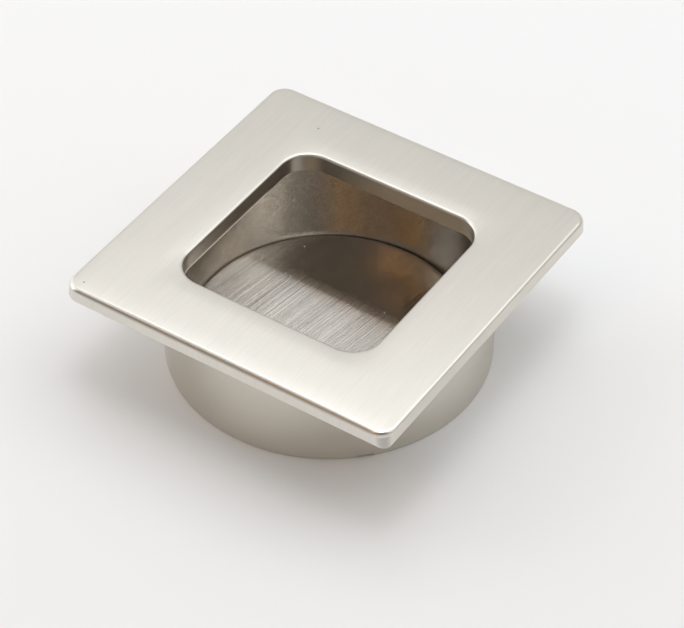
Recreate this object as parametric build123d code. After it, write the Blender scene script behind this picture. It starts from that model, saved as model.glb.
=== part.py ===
from build123d import *
import os

os.makedirs("parts", exist_ok=True)

# Square flush cup pull for a sliding door or a drawer front, in millimetres.
# The origin is on the cup's axis, in the plane of the plate's underside. +Z points out of the door.

# Face plate
plate_side = 60.0
plate_thickness = 2.3
plate_corner_radius = 3.4
plate_top_round = 1.0
plate_low_round = 0.3

# Finger opening and the lip around it
opening_side = 35.5
opening_corner_radius = 4.9
opening_rim_round = 0.4
lip_depth = 3.35

# Collar that goes into the bored hole, and the round cavity inside it
collar_radius = 26.5
overall_height = 20.0
collar_low_round = 0.4
cavity_radius = 23.2
cavity_mouth_chamfer = 0.3

# Notch that the casting's gate leaves in the collar's bottom rim
notch_width = 2.8
notch_height = 0.5
notch_angle = -44.3

# Floor disc, stamped from sheet: the punch rolls its upper edge over
floor_depth = 17.8
floor_thickness = 1.5
floor_roll_width = 1.0
floor_roll_drop = 0.25

# Heights that follow from them
top = plate_thickness
lip_bottom = top - lip_depth
rim_bottom = top - overall_height
floor_top = top - floor_depth
floor_bottom = floor_top - floor_thickness


def face_plate():
    """Square plate with rounded corners, rolled over along its upper edge and just broken along its lower one."""
    plate = extrude(RectangleRounded(plate_side, plate_side, plate_corner_radius), amount=plate_thickness)
    upper_edges = plate.faces().sort_by(Axis.Z)[-1].outer_wire().edges()
    plate = fillet(upper_edges, plate_top_round)
    lower_edges = plate.faces().sort_by(Axis.Z)[0].outer_wire().edges()
    return fillet(lower_edges, plate_low_round)


def collar():
    """Round plug below the plate, turned as one profile, with its bottom edge rounded to enter the hole."""
    with BuildPart() as plug:
        with BuildSketch(Plane.XZ):
            with BuildLine():
                Line((0, top / 2), (collar_radius, top / 2))
                Line((collar_radius, top / 2), (collar_radius, rim_bottom + collar_low_round))
                RadiusArc(
                    (collar_radius, rim_bottom + collar_low_round),
                    (collar_radius - collar_low_round, rim_bottom),
                    collar_low_round,
                )
                Line((collar_radius - collar_low_round, rim_bottom), (0, rim_bottom))
                Line((0, rim_bottom), (0, top / 2))
            make_face()
        revolve(axis=Axis.Z)
    return plug.part


def cavity():
    """Round hollow, open from below, whose flat ceiling is the underside of the lip."""
    mouth_radius = cavity_radius + cavity_mouth_chamfer
    with BuildPart() as hollow:
        with BuildSketch(Plane.XZ):
            with BuildLine():
                Polyline(
                    (0, lip_bottom),
                    (cavity_radius, lip_bottom),
                    (cavity_radius, rim_bottom + cavity_mouth_chamfer),
                    (mouth_radius, rim_bottom),
                    (0, rim_bottom),
                    close=True,
                )
            make_face()
        revolve(axis=Axis.Z)
    return hollow.part


def finger_opening():
    """Square prism with rounded corners that cuts the opening from above the plate into the cavity."""
    outline = RectangleRounded(opening_side, opening_side, opening_corner_radius)
    return Pos(0, 0, lip_bottom) * extrude(outline, amount=lip_depth)


def rim_notch():
    """Shallow notch across the collar's wall at its bottom rim."""
    wall = collar_radius - cavity_radius
    block = Box(3 * wall, notch_width, 2 * notch_height)
    return Rot(0, 0, notch_angle) * Pos((collar_radius + cavity_radius) / 2, 0, rim_bottom) * block


def cup_body():
    """The casting: plate and collar in one, hollowed from below, with the finger opening and its rounded rim."""
    body = face_plate() + collar() - cavity() - finger_opening()
    top_face = body.faces().sort_by(Axis.Z)[-1]
    rim_edges = top_face.inner_wires()[0].edges()
    body = fillet(rim_edges, opening_rim_round)
    return body - rim_notch()


def floor_disc():
    """Sheet disc pressed into the cavity, rolled over round its upper edge before the sheared side begins."""
    roll_start = (cavity_radius - floor_roll_width, floor_top)
    roll_end = (cavity_radius, floor_top - floor_roll_drop)
    with BuildPart() as disc:
        with BuildSketch(Plane.XZ):
            with BuildLine():
                Line((0, floor_top), roll_start)
                TangentArc(roll_start, roll_end, tangent=(1, 0))
                Polyline(roll_end, (cavity_radius, floor_bottom), (0, floor_bottom), (0, floor_top))
            make_face()
        revolve(axis=Axis.Z)
    return disc.part


export_step(cup_body(), "parts/cup_body.step")
export_step(floor_disc(), "parts/floor_disc.step")
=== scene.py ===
import math

import bmesh
import bpy
from mathutils import Matrix, Vector


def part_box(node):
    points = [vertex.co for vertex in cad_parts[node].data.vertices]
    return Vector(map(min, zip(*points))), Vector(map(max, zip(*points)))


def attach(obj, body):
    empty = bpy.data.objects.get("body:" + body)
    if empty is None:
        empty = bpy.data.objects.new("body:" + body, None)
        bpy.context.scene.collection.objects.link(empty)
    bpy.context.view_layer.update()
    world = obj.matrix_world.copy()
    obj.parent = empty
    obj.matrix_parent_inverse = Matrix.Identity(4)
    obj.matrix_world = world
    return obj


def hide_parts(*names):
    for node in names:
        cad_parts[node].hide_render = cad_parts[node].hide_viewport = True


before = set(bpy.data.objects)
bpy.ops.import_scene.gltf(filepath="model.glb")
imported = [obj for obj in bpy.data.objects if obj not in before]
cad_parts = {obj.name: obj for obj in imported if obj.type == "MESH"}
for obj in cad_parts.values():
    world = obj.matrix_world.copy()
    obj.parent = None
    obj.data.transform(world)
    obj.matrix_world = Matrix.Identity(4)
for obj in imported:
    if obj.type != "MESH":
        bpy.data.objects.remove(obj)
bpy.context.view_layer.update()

# Cup body
# One zinc die casting: face plate, lip, collar and the round cavity under the lip, in satin nickel plating.
# The plate's edges are rolled over by polishing, and its face is brushed along Y after casting.
mm = 0.001
body_low, body_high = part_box("cup_body")
plate_half = body_high[0]
plate_top = body_high[2]
rim_bottom = body_low[2]
plate_corner = 3.1 * mm
# One corner keeps its cast edge at the foot of the side, sharper than the others.
sharp_corner = 1.4 * mm
# The brushing belt runs along Y, so it rolls the two edges that it runs over more than the two beside it.
# The sides lean in a little towards the face, as the die needs, and the far one, at +Y, least of all.
roll_beside = 0.55 * mm
lean_beside = 0.22 * mm
roll_over = 1.0 * mm
lean_over = 0.17 * mm
lean_far = 0.03 * mm
plate_low_round = 0.15 * mm
opening_half = 17.8 * mm
opening_corner = 4.9 * mm
rim_round = 0.4 * mm
lip_bottom = plate_top - 3.35 * mm
lip_edge_break = 0.12 * mm
collar_radius = 26.5 * mm
collar_low_round = 0.32 * mm
cavity_radius = 23.2 * mm
cavity_chamfer = 0.3 * mm
notch_angle = math.radians(-44.3)
notch_half_width = 1.4 * mm
notch_top = rim_bottom + 0.5 * mm
# Polishing sinks the face a little towards the opening and towards the outer edge.
dish_depth = 0.12 * mm
dish_width = 3.8 * mm
crown_depth = 0.035 * mm
crown_width = 3.0 * mm
# The saw that freed the casting left a fine burr along one side of the lip's lower edge, with a worn crest.
burr = 0.07 * mm
burr_crest = 0.6 * burr
burr_crest_drop = 0.4 * burr
burr_start = -16.5 * mm
burr_end = 9.5 * mm
burr_fade = 1.0 * mm
burr_wall = 0.5 * mm - opening_half


def quarter_turns():
    """Polar angles of one quarter's points, close together round the corner and wider apart beside it."""
    corner_from = 33.0
    step_in_corner = 0.4
    step_beside = 1.1
    turns = []
    angle = -45.0
    while angle < 45.0 - 1e-6:
        turns.append(math.radians(angle))
        angle += step_in_corner if abs(angle) > corner_from else step_beside
    return turns


turns = [turn + quarter * math.pi / 2 for quarter in range(4) for turn in quarter_turns()]


def outline(half, corner, height):
    """Loop of points on a square with rounded corners. It is a circle where corner equals half."""
    centre = half - corner
    points = []
    for turn in turns:
        across = max(abs(math.cos(turn)), abs(math.sin(turn)))
        along = min(abs(math.cos(turn)), abs(math.sin(turn)))
        if along * half <= centre * across:
            reach = half / across
        else:
            middle = centre * (across + along)
            reach = middle + math.sqrt(middle * middle - 2 * centre * centre + corner * corner)
        points.append(Vector((reach * math.cos(turn), reach * math.sin(turn), height)))
    return points


def between(first, last, shares):
    """Loops part of the way from one loop to another."""
    return [[a.lerp(b, share) for a, b in zip(first, last)] for share in shares]


def quarter_round(steps):
    """Angles from 0 to 90 degrees, for the section of a rounded edge."""
    return [math.radians(90 * step / steps) for step in range(steps + 1)]


def eased(share):
    """Share from 0 to 1 that leaves 0 and reaches 1 gently."""
    return share * share * (3 - 2 * share)


def rolled_edge(angle):
    """Loop on the plate's outer edge, at an angle from the face (0) to the side (90 degrees)."""
    loops = []
    for roll, lean in ((roll_beside, lean_beside), (roll_over, lean_over), (roll_over, lean_far)):
        into = lean + roll * (1 - math.sin(angle))
        height = plate_top - crown_depth - roll * (1 - math.cos(angle))
        loops.append(outline(plate_half - into, plate_corner - into, height))
    loop = []
    for turn, beside_point, near_point, far_point in zip(turns, *loops):
        share = 0.5 - 0.5 * math.cos(2 * turn)
        over_point = far_point if math.sin(turn) > 0 else near_point
        loop.append(beside_point.lerp(over_point, eased(eased(share))))
    return loop


def foot_edge(angle):
    """Loop on the plate's lower edge, at an angle from the side (0) to the underside (90 degrees)."""
    into = plate_low_round * (1 - math.cos(angle))
    height = plate_low_round * (1 - math.sin(angle))
    soft = outline(plate_half - into, plate_corner - into, height)
    sharp = outline(plate_half - into, sharp_corner - into, height)
    return [cast if cast.x > 0 > cast.y else worn_and_painted_shade for cast, worn_and_painted_shade in zip(sharp, soft)]


def dished(distance):
    """How far polishing has sunk the face at a distance from the opening's wall."""
    return dish_depth * max(0.0, 1 - distance / dish_width) ** 2


def crowned(distance):
    """How far polishing has sunk the face at a distance from the start of the rolled edge."""
    return crown_depth * max(0.0, 1 - distance / crown_width) ** 2


def with_burr(loop, size):
    """Moves the burr's part of a lip loop inwards. The burr runs out gently at both ends."""
    moved = []
    for point in loop:
        inside_end = min(point.y - burr_start, burr_end - point.y)
        fade = min(1.0, max(0.0, inside_end / burr_fade))
        moved.append(point + Vector((size * fade if point.x < burr_wall else 0.0, 0, 0)))
    return moved


def with_notch(point):
    """Lifts the collar's bottom rim where the casting has its notch."""
    turn = math.atan2(point.y, point.x)
    away = abs(math.remainder(turn - notch_angle, 2 * math.pi)) * collar_radius
    if away < notch_half_width and point.z < notch_top:
        return Vector((point.x, point.y, notch_top))
    return point


def new_piece(name, mesh):
    """Object at the origin that holds a finished mesh."""
    piece = bpy.data.objects.new(name, mesh)
    bpy.context.scene.collection.objects.link(piece)
    return piece


# The casting is a closed band of loops, each with its finish. They go from the lip's lower edge up its wall,
# out over the plate, down the collar and back up the cavity, and lie close together where the form bends.
loops = []

# Lower edge and wall of the lip
for angle in quarter_round(3):
    out = lip_edge_break * (1 - math.sin(angle))
    height = lip_bottom + lip_edge_break * (1 - math.cos(angle))
    loops.append(("lip", with_burr(outline(opening_half + out, opening_corner + out, height), burr)))
burr_top = lip_bottom + lip_edge_break + burr
for height, size in ((burr_top - burr_crest_drop, burr), (burr_top, burr_crest), (burr_top, 0.0)):
    loops.append(("lip", with_burr(outline(opening_half, opening_corner, height), size)))
for share in (0.3, 0.7):
    height = lip_bottom + lip_edge_break + share * (plate_top - rim_round - lip_bottom - lip_edge_break)
    loops.append(("lip", outline(opening_half, opening_corner, height)))

# Rounded rim of the opening
for angle in quarter_round(9):
    out = rim_round * (1 - math.cos(angle))
    height = plate_top - rim_round * (1 - math.sin(angle)) - dished(out)
    loops.append(("plate", outline(opening_half + out, opening_corner + out, height)))

# Face
inner = outline(opening_half + rim_round, opening_corner + rim_round, plate_top)
outer = [Vector((point.x, point.y, plate_top)) for point in rolled_edge(0)]
span = plate_half - roll_beside - lean_beside - opening_half - rim_round
near_rim = (0.03, 0.06, 0.09, 0.13, 0.17, 0.21, 0.26)
near_edge = (0.7, 0.76, 0.82, 0.87, 0.91, 0.94, 0.97, 0.99)
for share in near_rim + (0.4, 0.55) + near_edge:
    loop = between(inner, outer, [share])[0]
    sink = dished(rim_round + share * span) + crowned((1 - share) * span)
    loops.append(("plate", [point - Vector((0, 0, sink)) for point in loop]))

# Outer edge, side and lower edge
for angle in quarter_round(12):
    loops.append(("plate", rolled_edge(angle)))
for loop in between(rolled_edge(math.pi / 2), foot_edge(0), (0.04, 0.96)):
    loops.append(("plate", loop))
for angle in quarter_round(6):
    loops.append(("plate", foot_edge(angle)))

# Underside and collar
seat = outline(collar_radius, collar_radius, 0)
for loop in between(foot_edge(math.pi / 2), seat, (0.02, 0.5, 0.98)):
    loops.append(("collar", loop))
loops.append(("collar", seat))
collar_foot = rim_bottom + collar_low_round
for share in (0.01, 0.2, 0.4, 0.6, 0.8, 0.9, 0.96):
    loops.append(("collar", outline(collar_radius, collar_radius, share * collar_foot)))
for angle in quarter_round(6):
    radius = collar_radius - collar_low_round * (1 - math.cos(angle))
    height = collar_foot - collar_low_round * math.sin(angle)
    loops.append(("collar", outline(radius, radius, height)))
mouth = cavity_radius + cavity_chamfer
for radius in (0.5 * (collar_radius + mouth), mouth):
    loops.append(("collar", outline(radius, radius, rim_bottom)))

# Wall and ceiling of the cavity
wall_low = (rim_bottom + cavity_chamfer, notch_top, notch_top + 0.1 * mm)
wall_middle = (-12 * mm, -8 * mm, -4 * mm)
wall_high = (lip_bottom - 0.05 * mm, lip_bottom)
for height in wall_low + wall_middle + wall_high:
    loops.append(("cavity", outline(cavity_radius, cavity_radius, height)))
ceiling = outline(cavity_radius, cavity_radius, lip_bottom)
edge = outline(opening_half + lip_edge_break, opening_corner + lip_edge_break, lip_bottom)
for loop in between(ceiling, edge, (0.04, 0.5, 0.95)):
    loops.append(("cavity", loop))

finishes = ["plate", "lip", "cavity", "collar"]
sharp_from = math.radians(32)
body_mesh = bpy.data.meshes.new("cup_casting")
shape = bmesh.new()
rows = [[shape.verts.new(with_notch(point)) for point in loop] for kind, loop in loops]
for index, (kind, loop) in enumerate(loops):
    here = rows[index]
    after = rows[(index + 1) % len(rows)]
    for column in range(len(turns)):
        beside = (column + 1) % len(turns)
        face = shape.faces.new((here[column], here[beside], after[beside], after[column]))
        face.material_index = finishes.index(kind)
        face.smooth = True
bmesh.ops.recalc_face_normals(shape, faces=shape.faces)
shape.to_mesh(body_mesh)
shape.free()
body_mesh.set_sharp_from_angle(angle=sharp_from)
cup_casting = new_piece("cup_casting", body_mesh)


def linear(hex_colour):
    """Linear colour of an sRGB hex value."""
    channels = [int(hex_colour[start:start + 2], 16) / 255 for start in (1, 3, 5)]
    return tuple(c / 12.92 if c <= 0.04045 else ((c + 0.055) / 1.055) ** 2.4 for c in channels) + (1.0,)


def add(tree, kind, settings=None, **inputs):
    """Adds one node, with its settings, its socket values and its links from other nodes' outputs.

    An input is named after its socket, or i0, i1 and so on by its place.
    """
    node = tree.nodes.new(kind)
    for name, value in (settings or {}).items():
        setattr(node, name, value)
    for name, value in inputs.items():
        by_place = name[0] == "i" and name[1:].isdigit()
        socket = node.inputs[int(name[1:]) if by_place else name.replace("_", " ")]
        if isinstance(value, bpy.types.NodeSocket):
            tree.links.new(value, socket)
        else:
            socket.default_value = value
    return node


def metal(name, colour, roughness, anisotropy=0.0):
    """Material of a metal, with its nodes and its shader node."""
    material = bpy.data.materials.new(name)
    material.use_nodes = True
    shader = material.node_tree.nodes["Principled BSDF"]
    shader.inputs["Base Color"].default_value = linear(colour)
    shader.inputs["Metallic"].default_value = 1.0
    shader.inputs["Roughness"].default_value = roughness
    shader.inputs["Anisotropic"].default_value = anisotropy
    return material, material.node_tree, shader


def speckle(tree, grain_size, turn=0.0, detail=2.0):
    """Noise from 0 to 1, with a grain of some metres along X, Y and Z, turned round Z by an angle."""
    place = add(tree, "ShaderNodeTexCoord").outputs["Object"]
    turned = add(tree, "ShaderNodeVectorRotate", {"rotation_type": "Z_AXIS"}, Vector=place, Angle=turn)
    density = [1 / size for size in grain_size]
    space = add(tree, "ShaderNodeMapping", Vector=turned.outputs[0], Scale=density)
    noise = add(tree, "ShaderNodeTexNoise", Vector=space.outputs[0], Scale=1.0, Detail=detail, Roughness=0.6)
    return noise.outputs[0]


def toned(tree, shader, patterns):
    """Makes the base colour lighter and darker with some patterns. Each has a share of its own."""
    colour = shader.inputs["Base Color"]
    share = 1.0 - 0.5 * sum(amount for pattern, amount in patterns)
    for pattern, amount in patterns:
        summed = add(tree, "ShaderNodeMath", {"operation": "MULTIPLY_ADD"}, i0=pattern, i1=amount, i2=share)
        share = summed.outputs[0]
    plain = colour.default_value[:3]
    shade = add(tree, "ShaderNodeVectorMath", {"operation": "SCALE"}, i0=plain, Scale=share)
    tree.links.new(shade.outputs[0], colour)
    return shade.outputs[0]


def raised(tree, shader, pattern, height, under=None):
    """Gives a surface the relief of a pattern, with a height in metres between its 0 and its 1."""
    bump = add(tree, "ShaderNodeBump", Height=pattern, Strength=1.0, Distance=height)
    if under is not None:
        tree.links.new(under.outputs[0], bump.inputs["Normal"])
    tree.links.new(bump.outputs[0], shader.inputs["Normal"])
    return bump


def spots(tree, places, size):
    """Mask that is 1 close to some places, given in millimetres, and falls to 0 at a distance in metres."""
    full_within = 0.4 * size
    here = add(tree, "ShaderNodeTexCoord").outputs["Object"]
    nearest = None
    for place in places:
        there = [length * mm for length in place]
        gap = add(tree, "ShaderNodeVectorMath", {"operation": "DISTANCE"}, i0=here, i1=there).outputs["Value"]
        if nearest is None:
            nearest = gap
        else:
            nearest = add(tree, "ShaderNodeMath", {"operation": "MINIMUM"}, i0=nearest, i1=gap).outputs[0]
    return add(tree, "ShaderNodeMapRange", Value=nearest, From_Min=size, From_Max=full_within).outputs[0]


# Satin nickel, brushed along Y: a warm grey metal with fine soft streaks, duller across the brushing, and two
# dark pits. The belt's grit leaves finer streaks than the 0.24 mm that they are drawn at, so that they show.
brushed_nickel, tree, shader = metal("satin nickel plated zinc, brushed", "#dcd8cf", 0.30, 0.4)
across = add(tree, "ShaderNodeCombineXYZ", X=1.0)
tree.links.new(across.outputs[0], shader.inputs["Tangent"])
fine = speckle(tree, (0.24 * mm, 6 * mm, 2 * mm))
broad = speckle(tree, (1.1 * mm, 22 * mm, 5 * mm))
shade = toned(tree, shader, [(fine, 0.12), (broad, 0.07)])
pit_places = [(-17.8, 23.4, 2.3), (-27.2, -27.5, 2.3)]
pit = spots(tree, pit_places, 0.2 * mm)
pitted = add(tree, "ShaderNodeMix", {"data_type": "RGBA"}, Factor=pit, A=shade, B=linear("#857f74"))
tree.links.new(pitted.outputs["Result"], shader.inputs["Base Color"])
raised(tree, shader, fine, 0.006 * mm)

# The same plating on the collar, as it left the tumbler: even and smooth.
smooth_nickel, tree, shader = metal("satin nickel plated zinc, tumbled", "#d7d2c8", 0.32)
grain = speckle(tree, (0.5 * mm, 0.5 * mm, 0.5 * mm))
toned(tree, shader, [(grain, 0.04)])

# The lip's wall, which the buffing wheel reaches only in part: duller than the plate and a little mottled.
lip_nickel, tree, shader = metal("satin nickel plated zinc, buffed", "#dcd5c9", 0.36)
grain = speckle(tree, (0.4 * mm, 0.4 * mm, 0.4 * mm))
toned(tree, shader, [(grain, 0.15)])

# The cavity's wall, plated over the cast skin: a fine grain, soft ripples and four small knots. The skin's
# own grain is finer than the 0.26 mm that it is drawn at, so that it shows.
cast_nickel, tree, shader = metal("satin nickel plated zinc, as cast", "#cbc2b6", 0.25)
ripples = speckle(tree, (1.6 * mm, 1.6 * mm, 2.4 * mm), detail=1.0)
grain = speckle(tree, (0.26 * mm, 0.26 * mm, 0.26 * mm))
toned(tree, shader, [(grain, 1.0), (ripples, 0.25)])
knot_places = [(-16.7, 16.4, -8.9), (-17.6, 15.4, -7.1), (-15.5, 17.6, -10.7), (-16.1, 17.0, -9.9)]
knots = spots(tree, knot_places, 0.45 * mm)
rippled_skin = raised(tree, shader, ripples, 0.05 * mm)
grainy_skin = raised(tree, shader, grain, 0.01 * mm, rippled_skin)
raised(tree, shader, knots, 0.05 * mm, grainy_skin)

for material in (brushed_nickel, lip_nickel, cast_nickel, smooth_nickel):
    body_mesh.materials.append(material)
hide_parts("cup_body")
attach(cup_casting, "root")

# Floor disc
# A disc stamped from stainless sheet with a coarse straight brushing, pressed up into the cavity from below.
# The punch has rolled its upper edge over. The fine dark ring against the cavity's wall is painted shade: the
# disc's colour is darkened there in place of the shadow in the gap.
# Its brushing lies a little askew to the plate's, as the disc was pressed in at any turn.
floor_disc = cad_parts["floor_disc"]
floor_top = floor_disc.bound_box[1][2] / mm
brushing_turn = math.radians(8.2)
# Bright metal with straight grey streaks and bands, and a gloss that the brushing draws out sideways.
brushed_sheet, tree, shader = metal("stainless sheet, straight brushed", "#cfcbc4", 0.15, 1.0)
across = Vector((math.cos(brushing_turn), -math.sin(brushing_turn), 0))
tangent = add(tree, "ShaderNodeCombineXYZ", X=across.x, Y=across.y)
tree.links.new(tangent.outputs[0], shader.inputs["Tangent"])
streaks = speckle(tree, (0.14 * mm, 90 * mm, 90 * mm), brushing_turn)
bands = speckle(tree, (0.8 * mm, 120 * mm, 120 * mm), brushing_turn)
shade = toned(tree, shader, [(streaks, 0.24), (bands, 0.1)])
# The scratches are finer than the eye can part, and spread the light widely across the brushing but not along
# it. The slope is that of their flanks, between the pattern's 0 and its 1.
scratches = speckle(tree, (0.008 * mm, 40 * mm, 40 * mm), brushing_turn)
scratch_slope = 5.5
centred = add(tree, "ShaderNodeMath", {"operation": "SUBTRACT"}, i0=scratches, i1=0.5)
tilt = add(tree, "ShaderNodeMath", {"operation": "MULTIPLY"}, i0=centred.outputs[0], i1=scratch_slope)
sideways = add(tree, "ShaderNodeVectorMath", {"operation": "SCALE"}, i0=across, Scale=tilt.outputs[0])
place = add(tree, "ShaderNodeTexCoord")
straight = place.outputs["Normal"]
tilted = add(tree, "ShaderNodeVectorMath", {"operation": "ADD"}, i0=straight, i1=sideways.outputs[0])
into_world = {"vector_type": "NORMAL", "convert_from": "OBJECT", "convert_to": "WORLD"}
combed = add(tree, "ShaderNodeVectorTransform", into_world, Vector=tilted.outputs[0])
tree.links.new(combed.outputs[0], shader.inputs["Normal"])
# Painted shade: the rolled edge is painted a darker grey where the disc meets the cavity's wall, in place of
# the shadow in the gap there.
seam_from = 22.85 * mm
seam_to = 23.05 * mm
here = place.outputs["Object"]
flat = add(tree, "ShaderNodeVectorMath", {"operation": "MULTIPLY"}, i0=here, i1=(1, 1, 0))
reach = add(tree, "ShaderNodeVectorMath", {"operation": "LENGTH"}, i0=flat.outputs[0])
seam_painted_shade = add(tree, "ShaderNodeMapRange", Value=reach.outputs["Value"], From_Min=seam_from, From_Max=seam_to)
painted_shade_grey = linear("#8a8278")
# This mix paints the seam's shade into the disc's colour.
worn_and_painted_shade = add(tree, "ShaderNodeMix", {"data_type": "RGBA"}, Factor=seam_painted_shade.outputs[0], A=shade, B=painted_shade_grey)
# A few grains of dust lie on the disc, and show white where it is dark.
dusty = [(-14.6, 14.5), (-18.8, 8.1), (-13.5, 7.3), (-12.5, 7.3), (-15.0, 4.5), (-13.7, 1.9)]
dusty += [(-0.8, 6.8), (-2.4, 3.5), (5.1, 8.5)]
dust = spots(tree, [(x, y, floor_top) for x, y in dusty], 0.16 * mm)
white = linear("#dedbd2")
dusted = add(tree, "ShaderNodeMix", {"data_type": "RGBA"}, Factor=dust, A=worn_and_painted_shade.outputs["Result"], B=white)
bare = add(tree, "ShaderNodeMath", {"operation": "SUBTRACT"}, i0=1.0, i1=dust)
tree.links.new(dusted.outputs["Result"], shader.inputs["Base Color"])
tree.links.new(bare.outputs[0], shader.inputs["Metallic"])
floor_disc.data.materials.clear()
floor_disc.data.materials.append(brushed_sheet)

# Studio
# A white table, a large soft light overhead and towards the back, and a dim room on the camera's side.
# The camera stands about 420 mm from the plate, where the photograph was taken from.
camera_azimuth = math.radians(33.20)
camera_elevation = math.radians(43.57)
camera_roll = math.radians(0.461)
camera_distance = 420.3 * mm
camera_target = Vector((9.939 * mm, -11.334 * mm, plate_top))
frame_width = 684
focal_pixels = 2755.5
centre_offset_pixels = 0.5

away = Vector((-math.sin(camera_azimuth), math.cos(camera_azimuth), 0))
beside = Vector((math.cos(camera_azimuth), math.sin(camera_azimuth), 0))
back = Vector((math.sin(camera_azimuth) * math.cos(camera_elevation),
               -math.cos(camera_azimuth) * math.cos(camera_elevation), math.sin(camera_elevation)))
level = back.cross(beside)
right = math.cos(camera_roll) * beside + math.sin(camera_roll) * level
up = math.cos(camera_roll) * level - math.sin(camera_roll) * beside
pixel = camera_distance / focal_pixels
camera_data = bpy.data.cameras.new("camera")
camera_data.sensor_width = 36.0
camera_data.lens = focal_pixels / frame_width * camera_data.sensor_width
camera_data.clip_start = 0.01
camera_data.clip_end = 20.0
camera = bpy.data.objects.new("camera", camera_data)
bpy.context.scene.collection.objects.link(camera)
place_of_camera = camera_target + back * camera_distance + (up - right) * centre_offset_pixels * pixel
camera.matrix_world = Matrix.Translation(place_of_camera) @ Matrix((right, up, back)).transposed().to_4x4()
bpy.context.scene.camera = camera

dome_radius = 0.9
strip_width = 15


def glowing(name, colour, strength):
    """Material that gives off an even light."""
    material = bpy.data.materials.new(name)
    material.use_nodes = True
    tree = material.node_tree
    tree.nodes.clear()
    glow = add(tree, "ShaderNodeEmission", Color=linear(colour), Strength=strength)
    add(tree, "ShaderNodeOutputMaterial", Surface=glow.outputs[0])
    return material


def panel(name, start, end, low, high, strength, colour="#ffffff"):
    """Glowing panel of the studio's dome, between two bearings and two elevations in degrees.

    Bearing 0 is straight away from the camera, and 90 is to its right.
    """
    points = []
    faces = []
    strips = max(1, round((end - start) / strip_width))
    for step in range(strips + 1):
        bearing = math.radians(start + (end - start) * step / strips)
        for elevation in (math.radians(low), math.radians(high)):
            level_reach = dome_radius * math.cos(elevation)
            point = away * level_reach * math.cos(bearing) + beside * level_reach * math.sin(bearing)
            points.append(point + Vector((0, 0, rim_bottom + dome_radius * math.sin(elevation))))
        if step > 0:
            faces.append((2 * step - 2, 2 * step, 2 * step + 1, 2 * step - 1))
    mesh = bpy.data.meshes.new(name)
    mesh.from_pydata([tuple(point) for point in points], [], faces)
    mesh.materials.append(glowing(name, colour, strength))
    new_piece(name, mesh)


panel("horizon_away", -30, 60, 0, 16, 1.0)
panel("backdrop_low", -30, 30, 16, 28, 0.5)
panel("backdrop_low_right", 30, 60, 16, 34, 0.5)
panel("backdrop", -30, 30, 28, 42, 0.8)
panel("backdrop_high", -30, 30, 42, 48, 0.6, "#fffaf2")
panel("backdrop_right", 30, 60, 34, 50, 1.0)
panel("soft_box", -30, 10, 48, 80, 2.35, "#f8faff")
panel("soft_box_side", 10, 30, 48, 80, 1.25, "#f8faff")
panel("soft_box_right", 30, 60, 50, 80, 1.7)
panel("soft_box_overhead", 0, 360, 80, 89, 4.88, "#fafdff")
panel("right_wall_low", 60, 120, 0, 18, 0.5)
panel("right_wall", 60, 90, 18, 34, 0.6)
panel("right_window", 60, 90, 34, 80, 1.85)
panel("right_wall_near", 90, 120, 18, 50, 0.9)
panel("right_wall_near_high", 90, 120, 50, 80, 1.6)
panel("left_wall_far", -60, -30, 0, 50, 1.4)
panel("left_wall_far_high", -60, -30, 50, 80, 0.6)
panel("left_window", -90, -60, 0, 50, 2.0)
panel("left_window_high", -90, -60, 50, 80, 0.6)
panel("left_wall_near_low", -120, -90, 0, 18, 0.5)
panel("left_wall_near_high", -120, -90, 64, 80, 0.8)
panel("room_low_right", 120, 180, 0, 30, 0.6)
panel("room_low_left", 180, 240, 0, 30, 0.6)
panel("room_right", 120, 135, 30, 62, 0.8)
panel("room_left_high", 210, 240, 54, 62, 1.2, "#ffe8da")
panel("room_lamp", 216, 240, 46, 54, 2.5, "#ffca70")
panel("room_wood", 200, 216, 44, 54, 0.4, "#ffa060")
panel("room_wood_low", 228, 240, 30, 42, 0.7, "#ff9a58")
panel("room_high", 120, 240, 62, 80, 0.95)

table_corners = ((-3, -3), (3, -3), (3, 3), (-3, 3))
table_mesh = bpy.data.meshes.new("table")
table_mesh.from_pydata([(x, y, rim_bottom) for x, y in table_corners], [], [(0, 1, 2, 3)])
white_paper = bpy.data.materials.new("white paper")
white_paper.use_nodes = True
shader = white_paper.node_tree.nodes["Principled BSDF"]
shader.inputs["Base Color"].default_value = linear("#f2f2f2")
shader.inputs["Roughness"].default_value = 0.9
shader.inputs["Specular IOR Level"].default_value = 0.1
table_mesh.materials.append(white_paper)
new_piece("table", table_mesh)

world = bpy.data.worlds.new("room")
bpy.context.scene.world = world
world.use_nodes = True
world.node_tree.nodes["Background"].inputs["Color"].default_value = linear("#ffffff")
world.node_tree.nodes["Background"].inputs["Strength"].default_value = 0.04
bpy.context.scene.view_settings.view_transform = "Standard"
